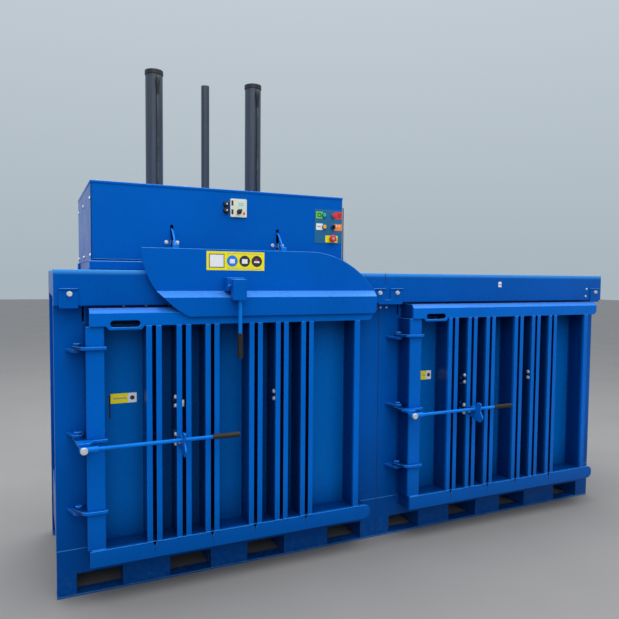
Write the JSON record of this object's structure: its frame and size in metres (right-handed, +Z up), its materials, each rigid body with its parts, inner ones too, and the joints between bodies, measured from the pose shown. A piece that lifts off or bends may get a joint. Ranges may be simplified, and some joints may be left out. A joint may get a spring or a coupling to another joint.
{
  "type": "recycling baler",
  "caption": "Recycling baler of blue painted steel: a press head that rolls along rails over two chambers with strap-slotted doors",
  "frame": {"origin": "On the floor, under the joint of the two chambers and at mid depth of the body.", "axes": "+X runs along the machine from the press head's side to the free chamber, +Y from the doors to the back, and +Z up."},
  "size_m": [3.58, 1.2369, 2.731],
  "materials": {
    "body_paint": "satin",
    "door_paint": "satin",
    "lever_paint": "gloss",
    "floor_paint": "worn satin",
    "platen_paint": "worn satin",
    "grip_black": "matte",
    "zinc": "zinc plated",
    "cast_iron": "machined",
    "slate_paint": "satin",
    "cap_black": "matte",
    "pipe_steel": "satin",
    "rod_chrome": "polished",
    "bush_brass": "machined",
    "unit_paint": "satin",
    "cabinet_paint": "satin",
    "panel_face": "satin",
    "button_green": "gloss",
    "button_red": "gloss",
    "button_amber": "gloss",
    "knob_black": "satin",
    "plate_cream": "satin"
  },
  "bodies": {
    "chassis": {"base_left": "body_paint", "base_right": "body_paint", "shell_left": "body_paint", "shell_right": "body_paint", "rails_left": "body_paint", "rails_right": "body_paint", "chamber_floors": "floor_paint", "frame_lugs": "body_paint", "hinge_pins": "body_paint", "ground_strips": "body_paint", "wall_ribs": "body_paint", "rail_brackets": "body_paint", "bracket_bolts": "zinc", "door_post_left": "door_paint", "door_top_bar_left": "door_paint", "door_bottom_bar_left": "door_paint", "door_pans_left": "door_paint", "door_lugs_left": "door_paint", "lever_catch_left": "door_paint", "lever_bolt_left": "zinc"},
    "right_door": {"door_post_right": "door_paint", "door_top_bar_right": "door_paint", "door_bottom_bar_right": "door_paint", "door_pans_right": "door_paint", "door_lugs_right": "door_paint", "lever_catch_right": "door_paint", "lever_bolt_right": "zinc"},
    "left_lever": {"lever_left": "lever_paint", "lever_grip_left": "grip_black"},
    "right_lever": {"lever_right": "lever_paint", "lever_grip_right": "grip_black"},
    "press_head": {"carriage_frame": "body_paint", "head_cover": "body_paint", "head_screws": "zinc", "cylinder_barrels": "slate_paint", "cylinder_caps": "cap_black", "cylinder_pipes": "pipe_steel", "guide_bush": "bush_brass", "hydraulic_unit": "unit_paint", "control_cabinet": "cabinet_paint", "hanger_brackets": "zinc", "control_plate": "panel_face", "isolator_plate": "plate_cream"},
    "left_wheels": {"wheels_left": "cast_iron"},
    "right_wheels": {"wheels_right": "cast_iron"},
    "press_plate": {"platen": "platen_paint", "piston_rods": "rod_chrome", "guide_tube": "slate_paint"},
    "switch_door": {"cabinet_door": "cabinet_paint"},
    "guard": {"apron": "body_paint", "apron_hangers": "lever_paint", "lock_bracket": "body_paint"},
    "lock_rod": {"lock_handle": "lever_paint", "lock_grip": "grip_black"},
    "start_switch": {"green_button": "button_green"},
    "stop_switch": {"red_button": "button_red"},
    "reset_switch": {"amber_button": "button_amber"},
    "emergency_switch": {"stop_button": "button_red"},
    "mode_switch": {"selector": "knob_black"},
    "main_switch": {"isolator_knob": "knob_black"}
  },
  "joints": [
    {"name": "right_door_hinge", "type": "hinge", "parent": "chassis", "child": "right_door", "pos_m": [0.1, -0.4995, 0.84], "axis": [0, 0, -1], "range_deg": [0, 105]},
    {"name": "left_lever_lift", "type": "hinge", "parent": "chassis", "child": "left_lever", "pos_m": [-1.674, -0.643, 0.778], "axis": [0, -1, 0], "range_deg": [0, 75]},
    {"name": "right_lever_lift", "type": "hinge", "parent": "right_door", "child": "right_lever", "pos_m": [0.116, -0.643, 0.778], "axis": [0, -1, 0], "range_deg": [0, 75]},
    {"name": "head_travel", "type": "slide", "parent": "chassis", "child": "press_head", "axis": [1, 0, 0], "range_m": [0, 1.79]},
    {"name": "left_wheels_roll", "type": "hinge", "parent": "press_head", "child": "left_wheels", "pos_m": [-1.53, 0, 1.6303], "axis": [0, 1, 0], "range_deg": [-5, 3430]},
    {"name": "right_wheels_roll", "type": "hinge", "parent": "press_head", "child": "right_wheels", "pos_m": [-0.343, 0, 1.6303], "axis": [0, 1, 0], "range_deg": [-5, 3430]},
    {"name": "press_stroke", "type": "slide", "parent": "press_head", "child": "press_plate", "axis": [0, 0, -1], "range_m": [0, 0.85]},
    {"name": "switch_door_hinge", "type": "hinge", "parent": "press_head", "child": "switch_door", "pos_m": [-0.241, -0.094, 1.822], "axis": [0, 0, 1], "range_deg": [0, 110]},
    {"name": "guard_lift", "type": "hinge", "parent": "press_head", "child": "guard", "pos_m": [-0.941, -0.41, 1.744], "axis": [-1, 0, 0], "range_deg": [0, 62]},
    {"name": "lock_pull", "type": "slide", "parent": "guard", "child": "lock_rod", "axis": [0, 0, -1], "range_m": [0, 0.02], "stiffness_N_per_m": 1500, "springref_m": -0.02},
    {"name": "start_press", "type": "slide", "parent": "press_head", "child": "start_switch", "axis": [0, 1, 0], "range_m": [0, 0.004], "stiffness_N_per_m": 400},
    {"name": "stop_press", "type": "slide", "parent": "press_head", "child": "stop_switch", "axis": [0, 1, 0], "range_m": [0, 0.004], "stiffness_N_per_m": 400},
    {"name": "reset_press", "type": "slide", "parent": "press_head", "child": "reset_switch", "axis": [0, 1, 0], "range_m": [0, 0.004], "stiffness_N_per_m": 400},
    {"name": "emergency_press", "type": "slide", "parent": "press_head", "child": "emergency_switch", "axis": [0, 1, 0], "range_m": [0, 0.005], "stiffness_N_per_m": 400},
    {"name": "mode_turn", "type": "hinge", "parent": "press_head", "child": "mode_switch", "pos_m": [-0.315, -0.445, 1.859], "axis": [0, 1, 0], "range_deg": [-45, 45]},
    {"name": "main_turn", "type": "hinge", "parent": "press_head", "child": "main_switch", "pos_m": [-0.875, -0.445, 1.917], "axis": [0, 1, 0], "range_deg": [0, 90]}
  ],
  "couplings": [
    {"joint": "left_wheels_roll", "follows": "head_travel", "rad_per_m": 33.333},
    {"joint": "right_wheels_roll", "follows": "head_travel", "rad_per_m": 33.333}
  ]
}
